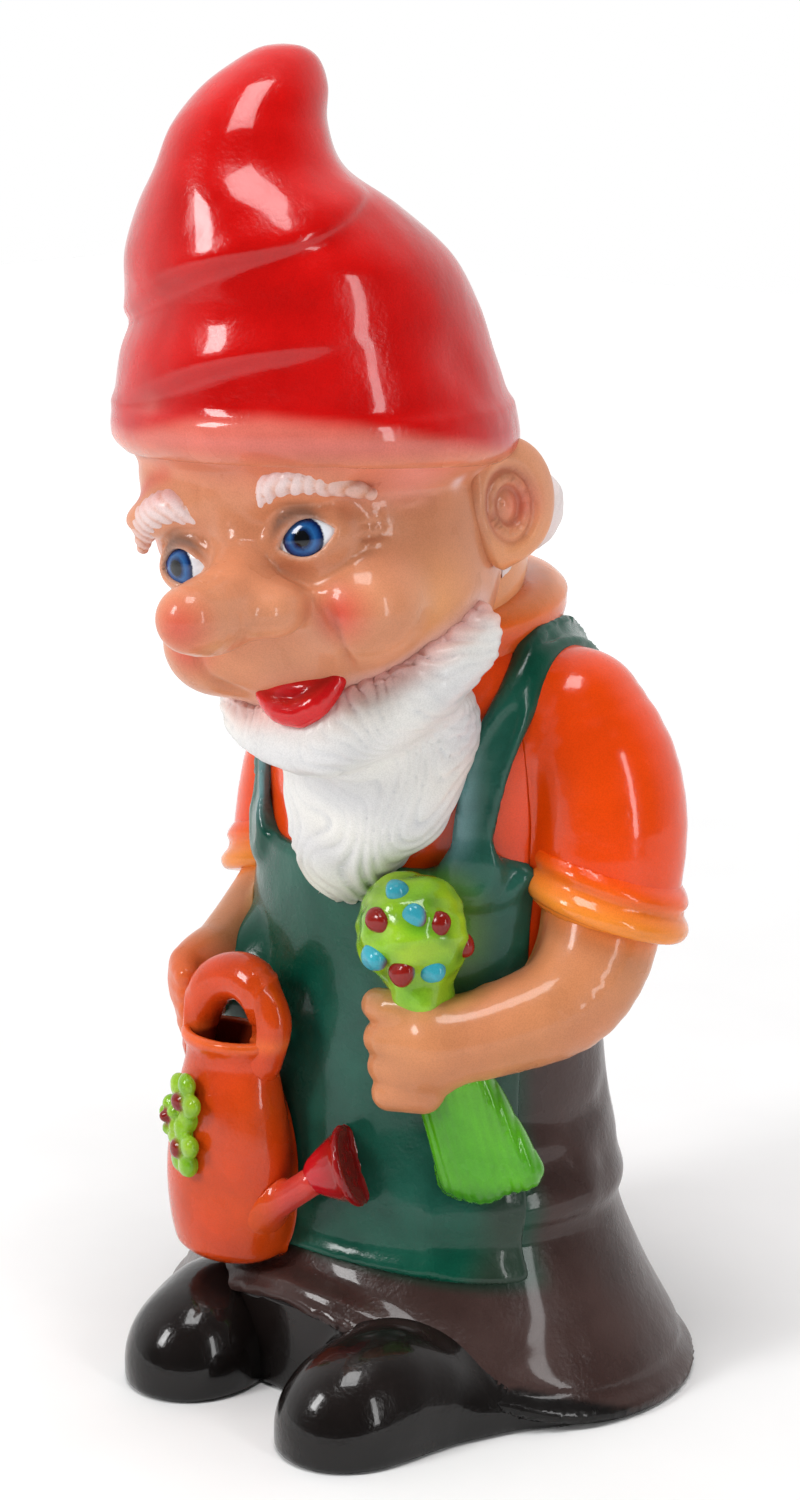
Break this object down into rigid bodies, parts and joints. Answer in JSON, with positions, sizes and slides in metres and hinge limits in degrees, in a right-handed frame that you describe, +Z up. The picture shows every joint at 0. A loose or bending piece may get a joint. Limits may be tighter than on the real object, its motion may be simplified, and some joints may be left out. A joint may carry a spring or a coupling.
{
  "type": "garden gnome",
  "caption": "Moulded garden gnome with red hat, white beard, apron, watering can and posy, standing on a flat base with a push-in filler plug.",
  "frame": {"origin": "on the ground in the figure's mid-plane, 25 mm in front of the middle of the base", "axes": "+Z up, the gnome faces -Y, its left hand is at +X"},
  "size_m": [0.316, 0.3362, 0.678],
  "materials": {
    "skin": "glossy lacquer over airbrushed skin tone",
    "hat_red": "glossy lacquer over red paint",
    "shirt_orange": "glossy lacquer over orange paint",
    "apron_green": "glossy lacquer over green paint",
    "trouser_brown": "glossy lacquer over brown paint",
    "boot_black": "glossy black paint",
    "hair_white": "glossy lacquer over white paint",
    "eye_paint": "glossy white with a painted blue iris",
    "lip_red": "glossy red paint",
    "can_orange": "glossy lacquer over orange paint",
    "leaf_green": "glossy lacquer over yellow-green paint",
    "blossom_paint": "glossy dabs of dark red and blue",
    "plug_plastic": "plain moulded plastic"
  },
  "bodies": {
    "figure": {"trousers": "trouser_brown", "base_plate": "boot_black", "boot_left": "boot_black", "boot_right": "boot_black", "shirt": "shirt_orange", "collar": "shirt_orange", "neck": "skin", "sleeve_left": "shirt_orange", "sleeve_right": "shirt_orange", "cuff_left": "shirt_orange", "cuff_right": "shirt_orange", "forearm_left": "skin", "forearm_right": "skin", "apron": "apron_green", "strap_left": "apron_green", "strap_right": "apron_green", "head": "skin", "ear_left": "skin", "ear_right": "skin", "eye_left": "eye_paint", "eye_right": "eye_paint", "eyebrow_left": "hair_white", "eyebrow_right": "hair_white", "lips": "lip_red", "beard": "hair_white", "hair": "hair_white", "hat": "hat_red", "hat_brim": "skin", "can_body": "can_orange", "can_handle": "can_orange", "can_spout": "can_orange", "can_rose": "lip_red", "can_flower": "leaf_green", "bouquet_head": "leaf_green", "bouquet_blossoms": "blossom_paint", "bouquet_wrap": "leaf_green"},
    "plug": {"filler_plug": "plug_plastic"}
  },
  "joints": [
    {"name": "plug_slide", "type": "slide", "parent": "figure", "child": "plug", "axis": [0, 0, -1], "range_m": [0, 0.02]}
  ]
}
